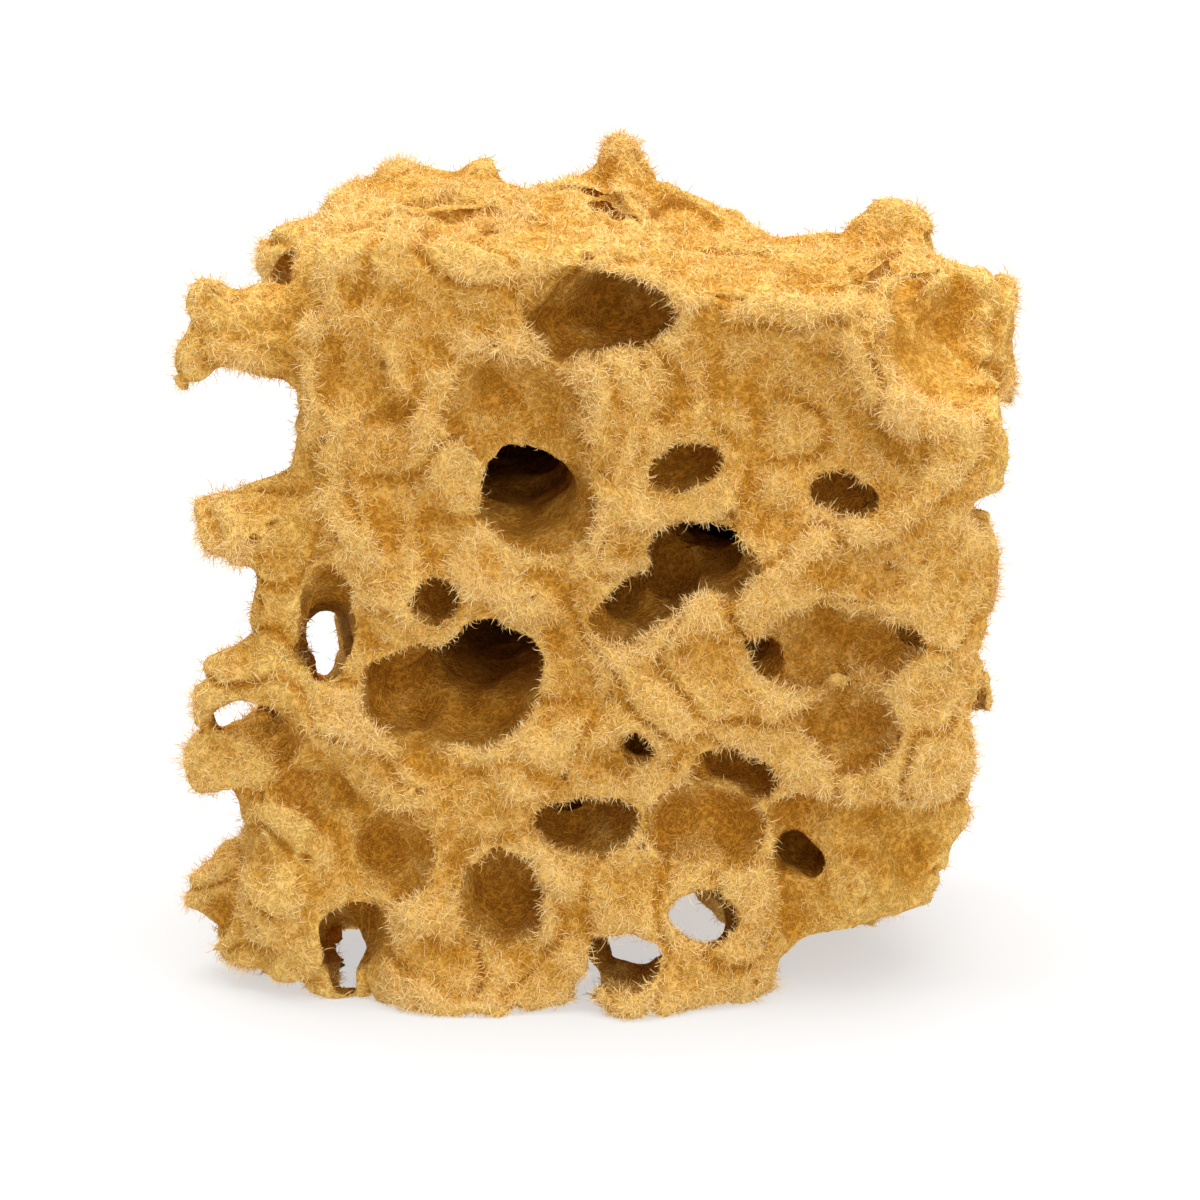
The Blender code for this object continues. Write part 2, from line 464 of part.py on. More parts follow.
def water_channels(collection):
    """Every channel, cave, hollow and pore, fused into one closed cutter with rippled walls."""
    form = bmesh.new()
    for centre, radii in HOLLOWS:
        add_mesh(form, ellipsoid(centre, radii))
    for _, flatten, lean, points in CHANNELS:
        add_mesh(form, tube(points, collection, flatten, lean))
    hidden_hollows(collection, form)
    for x, z, radius, depth in FRONT_PORES:
        add_mesh(form, straight_pore((x, FRONT_Y - 2.0, z), (0.0, 1.0, 0.1), radius, depth + 2.0))
    for mouth, inward, radius, depth in small_pore_list():
        add_mesh(form, straight_pore(mouth, inward, radius, depth))
    mesh = bpy.data.meshes.new("channels")
    form.to_mesh(mesh)
    form.free()
    channels = mesh_object("channels", mesh, collection)
    add_remesh(channels, FINE_VOXEL)
    add_smooth(channels, WALL_SMOOTHING)
    add_ripple(channels, "wall_ripple", WALL_RIPPLE_SCALE, WALL_RIPPLE_HEIGHT)
    channels.hide_render = True
    channels.display_type = "WIRE"
    return channels


def cut(obj, cutter, operation):
    modifier = obj.modifiers.new("cut", "BOOLEAN")
    modifier.operation = operation
    modifier.object = cutter


def largest_piece(mesh):
    """Keep only the largest connected body, so that no cut-off crumb is left floating."""
    form = bmesh.new()
    form.from_mesh(mesh)
    form.verts.ensure_lookup_table()
    seen = [False] * len(form.verts)
    bodies = []
    for start in form.verts:
        if seen[start.index]:
            continue
        seen[start.index] = True
        body, front = [], [start]
        while front:
            vert = front.pop()
            body.append(vert)
            for edge in vert.link_edges:
                other = edge.other_vert(vert)
                if not seen[other.index]:
                    seen[other.index] = True
                    front.append(other)
        bodies.append(body)
    bodies.sort(key=len)
    for body in bodies[:-1]:
        bmesh.ops.delete(form, geom=body, context="VERTS")
    form.to_mesh(mesh)
    form.free()


def stand_on_origin(mesh):
    """Move the mesh sideways until the middle of its box is over the origin. Its feet stay on z = 0."""
    across = [vert.co.x for vert in mesh.vertices]
    along = [vert.co.y for vert in mesh.vertices]
    middle = Vector(((min(across) + max(across)) / 2, (min(along) + max(along)) / 2, 0.0))
    mesh.transform(Matrix.Translation(-middle))


def floor_block(collection):
    """What lies above the surface that the sponge stands on."""
    form = bmesh.new()
    bmesh.ops.create_cube(form, size=0.3)
    bmesh.ops.translate(form, vec=(0.0, 0.0, 0.15), verts=form.verts)
    mesh = bpy.data.meshes.new("above_floor")
    form.to_mesh(mesh)
    form.free()
    block = mesh_object("above_floor", mesh, collection)
    block.hide_render = True
    block.display_type = "WIRE"
    return block


def main():
    clear_scene()
    model = new_collection("sea_sponge")
    cutters = new_collection("cutters")
    block = grown_block(cutters)
    cut(block, water_channels(cutters), "DIFFERENCE")
    add_remesh(block, FINE_VOXEL)
    add_smooth(block, RIM_SMOOTHING)
    add_ripple(block, "grain", GRAIN_SCALE, GRAIN_HEIGHT)
    fine = evaluated(block, NAME)
    block.hide_render = True
    largest_piece(fine)
    triangles = sum(len(face.vertices) - 2 for face in fine.polygons)
    coarse = mesh_object("coarse", fine, cutters)
    thin = coarse.modifiers.new("thin_out", "DECIMATE")
    thin.ratio = TRIANGLES / triangles
    thin.use_collapse_triangulate = True
    cut(coarse, floor_block(cutters), "INTERSECT")
    solid = evaluated(coarse, NAME)
    coarse.hide_render = True
    stand_on_origin(solid)
    solid.materials.append(sponge_material())
    mesh_object(NAME, solid, model)


main()
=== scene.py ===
"""Looks of a dry sea sponge: its felted body, the fibres that stand on it, and the studio around it.

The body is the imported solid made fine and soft, with felt lumps, folds and pinholes. The fibres are short
bent slivers that grow from the body in coats: curly on the outer faces, brushed out along the rims and
ragged ends, and combed flat along the walls of the channels. Lengths are in millimetres unless a name or a
docstring says otherwise; the finished meshes are in metres.
"""

import logging
import math
from dataclasses import dataclass, field
from enum import Enum

import bpy
import numpy as np
from mathutils import Euler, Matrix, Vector

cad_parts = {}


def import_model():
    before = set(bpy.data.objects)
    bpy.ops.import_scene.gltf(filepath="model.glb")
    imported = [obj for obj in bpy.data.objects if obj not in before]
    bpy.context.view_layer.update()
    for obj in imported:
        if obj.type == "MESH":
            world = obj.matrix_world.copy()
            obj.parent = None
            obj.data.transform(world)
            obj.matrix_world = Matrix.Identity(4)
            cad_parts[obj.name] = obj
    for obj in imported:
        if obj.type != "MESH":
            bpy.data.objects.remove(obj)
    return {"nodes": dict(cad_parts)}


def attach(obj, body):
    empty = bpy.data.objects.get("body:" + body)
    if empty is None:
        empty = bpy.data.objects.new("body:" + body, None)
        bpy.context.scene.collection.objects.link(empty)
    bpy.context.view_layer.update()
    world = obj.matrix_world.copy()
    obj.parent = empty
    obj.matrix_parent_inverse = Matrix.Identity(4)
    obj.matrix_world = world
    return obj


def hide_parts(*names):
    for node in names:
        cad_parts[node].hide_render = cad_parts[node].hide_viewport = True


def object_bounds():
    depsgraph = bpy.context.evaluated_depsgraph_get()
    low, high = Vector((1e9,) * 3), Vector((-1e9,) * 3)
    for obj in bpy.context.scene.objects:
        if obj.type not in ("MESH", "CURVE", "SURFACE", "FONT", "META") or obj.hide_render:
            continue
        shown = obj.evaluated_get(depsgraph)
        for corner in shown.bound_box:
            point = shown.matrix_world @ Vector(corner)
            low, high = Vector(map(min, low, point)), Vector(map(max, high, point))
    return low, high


LOG = logging.getLogger("sea_sponge")
MM = 0.001
NODE = "sponge"
BODY = "root"
FIBRE_MAP = "OFBake"
TONE = "tone"
LATTICE_TURN = np.array(Euler((0.7, 0.5, 0.3)).to_matrix())
NOISE_GAIN = 2.9
RELAX_SHARE = 0.5
SLIVER_TAPER = 0.25


class Side(Enum):
    """The outer face of the block that a spot of skin is nearest to."""

    FRONT = 0
    BACK = 1
    LEFT = 2
    RIGHT = 3
    TOP = 4
    UNDER = 5


OUTWARD = np.array([[0, -1, 0], [0, 1, 0], [-1, 0, 0], [1, 0, 0], [0, 0, 1], [0, 0, -1]], dtype=float)


class Nap(Enum):
    """How a coat of fibres lies."""

    CURLY = "curly"
    FLAT = "flat"
    BRUSH = "brush"


def unit(vectors: np.ndarray) -> np.ndarray:
    """Vectors divided by their own lengths."""
    return vectors / np.maximum(np.linalg.norm(vectors, axis=-1, keepdims=True), 1e-12)


def lattice_hash(cells: np.ndarray, seed: int) -> np.ndarray:
    """Evenly spread numbers from 0 to 1, one for each whole-number cell and the seed.

    Args:
        cells: whole numbers, shape (..., 3).
        seed: picks another set of numbers.

    Returns:
        Numbers of shape (...): each cell's three indices times large primes, mixed by shifts and products.
    """
    parts = cells.astype(np.int64) & 0xFFFFFFFF
    mixed = parts[..., 0] * 73856093 ^ parts[..., 1] * 19349663 ^ parts[..., 2] * 83492791
    mixed ^= seed * 2654435761
    mixed &= 0xFFFFFFFF
    for shift, factor in ((16, 0x45D9F3B), (13, 0x119DE1F3), (16, 0x3C6EF35F)):
        mixed = ((mixed >> shift) ^ mixed) * factor & 0xFFFFFFFF
    return (mixed ^ (mixed >> 15)) / 4294967296.0


def noise(points: np.ndarray, scale: float, seed: int) -> np.ndarray:
    """Gradient noise from about -1 to 1: random slopes at the corners of a turned lattice, blended smoothly.

    The value is the sum over the eight corners of (slope . offset) times the product of 6t^5 - 15t^4 + 10t^3
    weights along the three axes.

    Args:
        points: places in millimetres, shape (n, 3).
        scale: the lattice's pitch in millimetres.
        seed: picks another pattern.

    Returns:
        One value a point.
    """
    spot = points @ LATTICE_TURN / scale
    cell = np.floor(spot)
    t = spot - cell
    smooth = t * t * t * (t * (t * 6.0 - 15.0) + 10.0)
    total = np.zeros(len(points))
    for corner in range(8):
        step = np.array([corner & 1, corner >> 1 & 1, corner >> 2 & 1])
        share = np.prod(np.where(step == 1, smooth, 1.0 - smooth), axis=1)
        slope = np.stack([lattice_hash(cell + step, seed * 3 + axis) for axis in range(3)], axis=1) - 0.5
        total += share * ((t - step) * slope).sum(1)
    return np.clip(NOISE_GAIN * total, -1.0, 1.0)


def noise_field(points: np.ndarray, scale: float, seed: int) -> np.ndarray:
    """A smooth field of vectors: three noises side by side, shape (n, 3)."""
    return np.stack([noise(points, scale, seed + axis) for axis in range(3)], axis=1)


class Socket:
    """A shader value that adds a Math node for each operation in a Python expression."""

    def __init__(self, maker: "Shader", output: bpy.types.NodeSocket) -> None:
        """Keep the shader that holds the value, and the socket it leaves by."""
        self.maker = maker
        self.output = output

    def _maths(self, operation: str, *values: object) -> "Socket":
        """One Math node on these values."""
        return self.maker.node("ShaderNodeMath", {"operation": operation}, dict(enumerate(values)))

    def __add__(self, other: object) -> "Socket":
        """self + other."""
        return self._maths("ADD", self, other)

    __radd__ = __add__

    def __mul__(self, other: object) -> "Socket":
        """self * other."""
        return self._maths("MULTIPLY", self, other)

    __rmul__ = __mul__

    def __sub__(self, other: object) -> "Socket":
        """self - other."""
        return self._maths("SUBTRACT", self, other)

    def __rsub__(self, other: object) -> "Socket":
        """other - self."""
        return self._maths("SUBTRACT", other, self)

    def __abs__(self) -> "Socket":
        """The value without its sign."""
        return self._maths("ABSOLUTE", self)

    def most(self, other: object) -> "Socket":
        """The larger of two values."""
        return self._maths("MAXIMUM", self, other)

    def clamped(self) -> "Socket":
        """The value held between 0 and 1."""
        return self._maths("MINIMUM", self._maths("MAXIMUM", self, 0.0), 1.0)


class Shader:
    """A material whose nodes are added one call at a time."""

    def __init__(self, name: str) -> None:
        """Make the material with its Principled shader.

        Args:
            name: the material's name.
        """
        self.material = bpy.data.materials.new(name)
        self.material.use_nodes = True
        self.nodes = self.material.node_tree.nodes
        self.links = self.material.node_tree.links
        self.surface = self.nodes["Principled BSDF"]

    def node(self, kind: str, settings: dict, inputs: dict, output: object = 0) -> Socket:
        """Add any node.

        Args:
            kind: the node's type.
            settings: its properties, set first. The key "stops" fills a ramp with (place, colour) pairs.
            inputs: values or Sockets by input name or number.
            output: the output to return, by name or number.

        Returns:
            The chosen output.
        """
        made = self.nodes.new(kind)
        for key, value in settings.items():
            if key == "stops":
                self._fill_ramp(made.color_ramp, value)
            else:
                setattr(made, key, value)
        for key, value in inputs.items():
            self.feed(made.inputs[key], value)
        return Socket(self, made.outputs[output])

    def feed(self, target: bpy.types.NodeSocket, value: object) -> None:
        """Link a Socket to an input, or set the input's own value."""
        if isinstance(value, Socket):
            self.links.new(value.output, target)
        else:
            target.default_value = value

    def set(self, **values: object) -> None:
        """Feed the Principled shader's inputs, named with _ for a space."""
        for key, value in values.items():
            self.feed(self.surface.inputs[key.replace("_", " ")], value)

    def ramp(self, fac: Socket, stops: tuple) -> Socket:
        """A colour ramp through (place, (r, g, b)) stops."""
        return self.node("ShaderNodeValToRGB", {"stops": stops}, {"Fac": fac}, "Color")

    def blend(self, fac: Socket, first: Socket, second: Socket) -> Socket:
        """Two colours mixed by a factor."""
        return self.node("ShaderNodeMix", {"data_type": "RGBA"}, {"Factor": fac, 6: first, 7: second}, 2)

    @staticmethod
    def _fill_ramp(ramp: bpy.types.ColorRamp, stops: tuple) -> None:
        """Give a ramp exactly these stops."""
        while len(ramp.elements) > 1:
            ramp.elements.remove(ramp.elements[-1])
        for index, (place, colour) in enumerate(stops):
            stop = ramp.elements[0] if index == 0 else ramp.elements.new(place)
            stop.position = place
            stop.color = (*colour, 1.0)


@dataclass(frozen=True)
class FeltFinish:
    """The matted felt under the fibres: curly pale strands over orange gaps, with a soft mottle.

    A strand is the thin line where a smooth noise passes its middle value. Several noises of unlike scale
    cross each other, which gives a mat of curls. The scales are in turns a metre.
    """

    shade: tuple = ((0.0, (0.34, 0.12, 0.005)), (0.45, (0.63, 0.28, 0.024)), (1.0, (0.88, 0.56, 0.15)))
    mottle_scale: float = 260.0
    mottle: float = 0.26
    strand_scales: tuple = (1230.0, 1710.0, 2390.0)
    strand_sharpness: float = 9.0
    strand: float = 0.34
    gap: float = 0.19
    relief: float = 0.16
    roughness: float = 0.96
    specular: float = 0.15

    def material(self) -> bpy.types.Material:
        """The felt's material, from the body's tone with its painted shade and highlights, a mottle and the
        strands on Object coordinates.
        """
        shader = Shader("sponge_felt")
        where = shader.node("ShaderNodeTexCoord", {}, {}, "Object")
        tone = shader.node("ShaderNodeAttribute", {"attribute_name": TONE}, {}, "Fac")
        mottle = shader.node("ShaderNodeTexNoise", {}, {"Vector": where, "Scale": self.mottle_scale})
        mat = self._strand(shader, where, self.strand_scales[0])
        for scale in self.strand_scales[1:]:
            mat = mat.most(self._strand(shader, where, scale))
        place = tone + (mottle - 0.5) * self.mottle + mat * self.strand - self.gap
        relief = {"Height": mat, "Strength": 1.0, "Distance": self.relief * MM}
        bump = shader.node("ShaderNodeBump", {}, relief)
        shader.set(Base_Color=shader.ramp(place.clamped(), self.shade), Roughness=self.roughness, Normal=bump)
        shader.set(Specular_IOR_Level=self.specular)
        return shader.material

    def _strand(self, shader: Shader, where: Socket, scale: float) -> Socket:
        """1 along the lines where the noise is at its middle value, falling straight to 0 beside them."""
        level = shader.node("ShaderNodeTexNoise", {}, {"Vector": where, "Scale": scale, "Detail": 0.0})
        return (1.0 - abs(level - 0.5) * self.strand_sharpness).clamped()


@dataclass(frozen=True)
class FibreFinish:
    """Fine spongin fibres: darker orange-gold at the root, a painted shade among the fibres, pale straw at
    the tip, and paler or darker with the skin's tone, which holds painted highlights and shade.
    """

    # The root ramp is darker than the tip ramp: painted shade at the foot of the fibres.
    root: tuple = ((0.0, (0.34, 0.12, 0.005)), (0.5, (0.63, 0.28, 0.024)), (1.0, (0.84, 0.50, 0.110)))
    tip: tuple = ((0.0, (0.54, 0.24, 0.024)), (0.5, (0.91, 0.55, 0.115)), (1.0, (0.99, 0.84, 0.47)))
    roughness: float = 0.62
    specular: float = 0.25

    def material(self) -> bpy.types.Material:
        """The fibres' material. Their UV map holds tone across and the way from root to tip up."""
        shader = Shader("sponge_fibres")
        spot = shader.node("ShaderNodeUVMap", {"uv_map": FIBRE_MAP}, {})
        tone = shader.node("ShaderNodeSeparateXYZ", {}, {0: spot}, "X")
        along = shader.node("ShaderNodeSeparateXYZ", {}, {0: spot}, "Y")
        colour = shader.blend(along, shader.ramp(tone, self.root), shader.ramp(tone, self.tip))
        shader.set(Base_Color=colour, Roughness=self.roughness, Specular_IOR_Level=self.specular)
        return shader.material


@dataclass(frozen=True)
class Block:
    """The outer faces of the block, from which depths are measured. The front slants back to the right."""

    left: float = -31.0
    right: float = 38.0
    front: float = -31.5
    front_slant: float = 0.15
    slant_from: float = 4.0
    back: float = 32.5
    top_left: float = 76.5
    top_right: float = 72.5
    top_step: float = 6.0

    def gaps(self, points: np.ndarray) -> np.ndarray:
        """How far each point lies inside each face, shape (n, 6), in the order of Side."""
        x, y, z = points.T
        top = np.where(x < self.top_step, self.top_left, self.top_right)
        front = self.front + self.front_slant * np.maximum(x - self.slant_from, 0.0)
        return np.stack([y - front, self.back - y, x - self.left, self.right - x, top - z, z], axis=1)


@dataclass
class Skin:
    """The fine surface of the body as whole arrays, in millimetres.

    For each point, side is the nearest face of the block, depth and reach are how far it lies inside and
    outside the block, shelter is the depth weighed by how far the skin faces inwards, rim is -1 in broad
    hollows and 1 on broad ridges, nook is 1 in small hollows, and tone goes from 0, dark, to 1, pale. The
    tone holds painted shade in nooks and deep in the channels and painted highlights on ridges and small
    bumps.
    """

    points: np.ndarray
    triangles: np.ndarray
    normals: np.ndarray = field(init=False)
    edges: np.ndarray = field(init=False)
    side: np.ndarray = field(init=False)
    depth: np.ndarray = field(init=False)
    shelter: np.ndarray = field(init=False)
    reach: np.ndarray = field(init=False)
    rim: np.ndarray = field(init=False)
    nook: np.ndarray = field(init=False)
    tone: np.ndarray = field(init=False)

    def __post_init__(self) -> None:
        """Work out the edges and the normals."""
        pairs = np.sort(self.triangles[:, [0, 1, 1, 2, 2, 0]].reshape(-1, 2), axis=1)
        self.edges = np.unique(pairs, axis=0)
        self.refresh()

    def refresh(self) -> None:
        """Vertex normals: the sum of the cross products of the triangles around each point."""
        a, b, c = (self.points[self.triangles[:, corner]] for corner in range(3))
        across = np.cross(b - a, c - a)
        corners = self.triangles.ravel()
        sums = [np.bincount(corners, np.repeat(across[:, axis], 3), len(self.points)) for axis in range(3)]
        self.normals = unit(np.stack(sums, axis=1))

    def relaxed(self, values: np.ndarray, turns: int) -> np.ndarray:
        """Values moved towards the mean of their neighbours, over and over.

        Args:
            values: one row a point.
            turns: how many times.

        Returns:
            The smoothed values.
        """
        first, second = self.edges.T
        count = np.bincount(self.edges.ravel(), minlength=len(self.points))[:, None]
        for _ in range(turns):
            sums = [
                np.bincount(first, column[second], len(column))
                + np.bincount(second, column[first], len(column))
                for column in values.T
            ]
            values = values + RELAX_SHARE * (np.stack(sums, axis=1) / count - values)
        return values

    def bulge(self, turns: int) -> np.ndarray:
        """How far each point stands out of its smoothed surroundings. Hollows are negative."""
        return ((self.points - self.relaxed(self.points, turns)) * self.normals).sum(1)


@dataclass(frozen=True)
class Pinholes:
    """Small round pits strewn over the felt: a lattice of this pitch holds one in a share of its cells."""

    pitch: float = 3.2
    radius: float = 0.85
    least_size: float = 0.55
    share: float = 0.34
    depth: float = 1.3
    seed: int = 53

    def sink(self, points: np.ndarray) -> np.ndarray:
        """How deep each point sinks: the depth times (1 - d^2)^2, with d = 1 at a pit's radius."""
        base = np.floor(points / self.pitch)
        deepest = np.zeros(len(points))
        for corner in range(27):
            spot = base + np.array([corner % 3, corner // 3 % 3, corner // 9]) - 1
            place = np.stack([lattice_hash(spot, self.seed + axis) for axis in range(3)], 1)
            spread = self.least_size + (1.0 - self.least_size) * lattice_hash(spot, self.seed + 3)
            held = lattice_hash(spot, self.seed + 4) < self.share
            near = ((points - (spot + place) * self.pitch) ** 2).sum(1) / (self.radius * spread) ** 2
            deepest = np.maximum(deepest, np.where(held, np.clip(1.0 - near, 0.0, 1.0) ** 2, 0.0))
        return self.depth * deepest


@dataclass(frozen=True)
class Toning:
    """What each kind of spot adds to the felt's tone, or takes from it.

    Painted highlights lighten broad ridges and small bumps, and painted shade darkens small nooks and the
    felt deep in the channels. Broad hollows get a little back, because the light in the scene already leaves
    them darker.
    """

    middle: float = 0.63
    # rim and knob are painted highlights, inner and nook are painted shade; only the patch is the felt's own
    # patchiness.
    rim: float = 0.22
    hollow: float = 0.12
    inner: float = 0.27
    inner_depth: float = 16.0
    knob_highlight: float = 0.5
    knob_limit: float = 0.3
    nook: float = 0.30
    patch: float = 0.10
    patch_size: float = 5.0
    patch_seed: int = 91
    limits: tuple = (0.02, 0.98)

    def tone(self, skin: Skin, fine: np.ndarray) -> np.ndarray:
        """The tone of each point, from 0, dark, to 1, pale.

        Args:
            skin: the surface, with its depth, shelter, rim and nook filled in.
            fine: how far each point stands out of the skin close around it.

        Returns:
            The tones.
        """
        # Painted shade: the felt darkens with depth into the channels.
        inner = 1.0 - np.exp(-(((skin.depth + skin.shelter) / self.inner_depth) ** 2))
        # Painted highlight on broad ridges; broad hollows are lightened a little against the scene's own
        # shade.
        tone = self.middle + self.rim * np.maximum(skin.rim, 0.0) - self.hollow * np.minimum(skin.rim, 0.0)
        # Painted highlight on small bumps, painted shade in small nooks.
        tone += self.knob_highlight * np.clip(fine, 0.0, self.knob_limit) - self.inner * inner - self.nook * skin.nook
        tone += self.patch * noise(skin.points, self.patch_size, self.patch_seed)
        return np.clip(tone, *self.limits)


@dataclass
class SpongeBody:
    """The felted body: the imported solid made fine, its rims sharpened, and given lumps, folds and pinholes.

    A lump or fold is (pitch, height or depth, seed) of its noise, and a sharpening (smoothing turns, share).
    """

    pieces: tuple = ("sponge_front", "sponge_middle", "sponge_behind", "sponge_back")
    voxel: float = 0.48
    weld: float = 0.01
    soften_turns: int = 10
    sharpen: tuple = ((50, 0.8), (300, 0.35))
    ridge_limit: float = 0.55
    hollow_limit: float = 1.8
    inset: float = 0.48
    lumps: tuple = ((7.5, 0.75, 11), (3.6, 0.55, 23), (1.8, 0.28, 37))
    fold: tuple = (9.0, 0.85, 61)
    fold_width: float = 0.11
    smooth_depth: float = 4.0
    smooth_share: float = 0.25
    fine_turns: int = 10
    broad_turns: int = 160
    rim_height: float = 1.2
    nook_gain: float = 4.0
    wall_shelter: float = 1.6
    face_shelter: float = 0.5
    pinholes: Pinholes = Pinholes()
    toning: Toning = Toning()
    block: Block = Block()

    def build(self, source: bpy.types.Object) -> tuple[list[bpy.types.Object], Skin]:
        """Make the body from the CAD node.

        Args:
            source: the node's object; its mesh is copied.

        Returns:
            The body in even slices from front to back, and its whole surface with the arrays that the fibres
            need filled in.
        """
        skin = self._fine_skin(source)
        skin.points = skin.relaxed(skin.points, self.soften_turns)
        skin.refresh()
        self._sharpen(skin)
        self._roughen(skin)
        self._judge(skin)
        finish = FeltFinish().material()
        order = np.argsort(skin.points[skin.triangles[:, 0], 1], kind="stable")
        slices = zip(self.pieces, np.array_split(order, len(self.pieces)))
        return [self._piece(name, skin, skin.triangles[part], finish) for name, part in slices], skin

    def _fine_skin(self, source: bpy.types.Object) -> Skin:
        """A voxel-remeshed copy of the node's merged mesh."""
        merged = bpy.data.objects.new("merged", source.data.copy())
        bpy.context.scene.collection.objects.link(merged)
        weld = merged.modifiers.new("weld", "WELD")
        weld.merge_threshold = self.weld * MM
        remesh = merged.modifiers.new("fine", "REMESH")
        remesh.mode = "VOXEL"
        remesh.voxel_size = self.voxel * MM
        fine = bpy.data.meshes.new_from_object(merged.evaluated_get(bpy.context.evaluated_depsgraph_get()))
        bpy.data.objects.remove(merged)
        fine.calc_loop_triangles()
        points = read(fine.vertices, "co", 3) / MM
        triangles = read(fine.loop_triangles, "vertices", 3, np.int32)
        bpy.data.meshes.remove(fine)
        return Skin(points, triangles)

    def _sharpen(self, skin: Skin) -> None:
        """Push ridges out and hollows in, by shares of how far they stand from the smoothed skin."""
        stand = sum(share * skin.bulge(turns) for turns, share in self.sharpen)
        limit = np.where(stand > 0.0, self.ridge_limit, self.hollow_limit)
        skin.points = skin.points + skin.normals * (limit * np.tanh(stand / limit))[:, None]
        skin.refresh()

    def _roughen(self, skin: Skin) -> None:
        """Move the skin along its normals: in by the inset, out by each lump noise, in at folds and pinholes.

        A fold runs where its noise is near 0, and is exp(-(noise / width)^2) times its depth. The walls of
        the channels keep only a share of it all.
        """
        move = np.zeros(len(skin.points))
        for pitch, height, seed in self.lumps:
            move += height * noise(skin.points, pitch, seed)
        pitch, depth, seed = self.fold
        move -= depth * np.exp(-((noise(skin.points, pitch, seed) / self.fold_width) ** 2))
        move -= self.pinholes.sink(skin.points)
        inside = np.maximum(self.block.gaps(skin.points).min(axis=1), 0.0)
        move *= self.smooth_share + (1.0 - self.smooth_share) * np.exp(-((inside / self.smooth_depth) ** 2))
        skin.points = skin.points + skin.normals * (move - self.inset)[:, None]
        skin.points[:, 2] = np.maximum(skin.points[:, 2], 0.0)
        skin.refresh()

    def _judge(self, skin: Skin) -> None:
        """Fill in what Skin says of each point, from where it lies in the block and how it bulges."""
        gaps = self.block.gaps(skin.points)
        skin.side = np.argmin(gaps, axis=1)
        skin.depth = np.maximum(gaps.min(axis=1), 0.0)
        skin.reach = np.maximum(-gaps.min(axis=1), 0.0)
        facing = (unit(skin.relaxed(skin.normals, self.fine_turns)) * OUTWARD[skin.side]).sum(1)
        open_share = np.clip(facing, 0.0, 1.0)
        skin.shelter = skin.depth * (self.wall_shelter - (self.wall_shelter - self.face_shelter) * open_share)
        fine = skin.bulge(self.fine_turns)
        skin.rim = np.clip(skin.bulge(self.broad_turns) / self.rim_height, -1.0, 1.0)
        skin.nook = np.clip(-self.nook_gain * fine, 0.0, 1.0)
        # The tone holds painted shade and painted highlights as well as random patches.
        skin.tone = self.toning.tone(skin, fine)

    def _piece(
        self, name: str, skin: Skin, triangles: np.ndarray, finish: bpy.types.Material
    ) -> bpy.types.Object:
        """Part of the skin as an object, shaded with the whole skin's normals so that no seam shows.

        Args:
            name: the piece's name.
            skin: the whole surface.
            triangles: the piece's share of its triangles.
            finish: the felt's material.

        Returns:
            The piece.
        """
        used, renumbered = np.unique(triangles, return_inverse=True)
        mesh = mesh_from(name, skin.points[used], renumbered.reshape(-1, 3))
        mesh.normals_split_custom_set_from_vertices(skin.normals[used].astype(np.float32))
        # The tone attribute carries the painted shade and highlights to the felt's colour.
        tone = mesh.attributes.new(TONE, "FLOAT", "POINT")
        tone.data.foreach_set("value", skin.tone[used].astype(np.float32))
        mesh.materials.append(finish)
        return linked(name, mesh)


@dataclass(frozen=True)
class Growth:
    """Where each nap grows thickly. Depths are sheltered depths in millimetres, the rest shares of 1."""

    curly_least: float = 0.04
    curly_depth: float = 4.0
    curly_nook: float = 0.9
    flat_depth: float = 4.0
    flat_least: float = 0.05
    flat_fade: float = 12.0
    brush_rim: float = 0.2
    brush_fade: float = 5.0
    tuft_size: float = 7.0
    tuft_from: float = 0.12
    tuft_gain: float = 4.0
    tuft_least: float = 0.04
    stray_reach: float = 4.0
    stray: float = 0.4

    def share(self, nap: Nap, skin: Skin, seed: int) -> np.ndarray:
        """How thickly each triangle of the skin is planted, from 0 to about 1.

        Args:
            nap: curly fibres thin out with depth and in nooks, flat ones line the walls, and brushed ones
                stand along the rims in tufts and on what reaches far out of the block.
            skin: the body's surface.
            seed: places the tufts.

        Returns:
            One share a triangle.
        """
        values = (skin.shelter, skin.rim, skin.reach, skin.nook)
        shelter, rim, reach, nook = (value[skin.triangles].mean(1) for value in values)
        if nap is Nap.CURLY:
            fade = np.exp(-((shelter / self.curly_depth) ** 2))
            return (self.curly_least + (1.0 - self.curly_least) * fade) * (1.0 - self.curly_nook * nook)
        if nap is Nap.FLAT:
            wall = np.clip(shelter / self.flat_depth - rim, self.flat_least, 1.0)
            return wall * np.exp(-shelter / self.flat_fade)
        patch = noise(skin.points[skin.triangles[:, 0]], self.tuft_size, seed)
        tufts = self.tuft_least + np.clip(self.tuft_gain * (patch - self.tuft_from), 0.0, 1.0)
        ridge = np.clip(rim - self.brush_rim, 0.0, 1.0) * np.exp(-shelter / self.brush_fade)
        return ridge * (tufts + self.stray * (reach > self.stray_reach))


@dataclass(frozen=True)
class Cut:
    """What a coat's fibres are like: their length and width, how steeply they rise, and how they curl.

    The clump is the size of the tufts that lean the same way.
    """

    length: float
    width: float
    lift: float
    clump: float
    curl: float


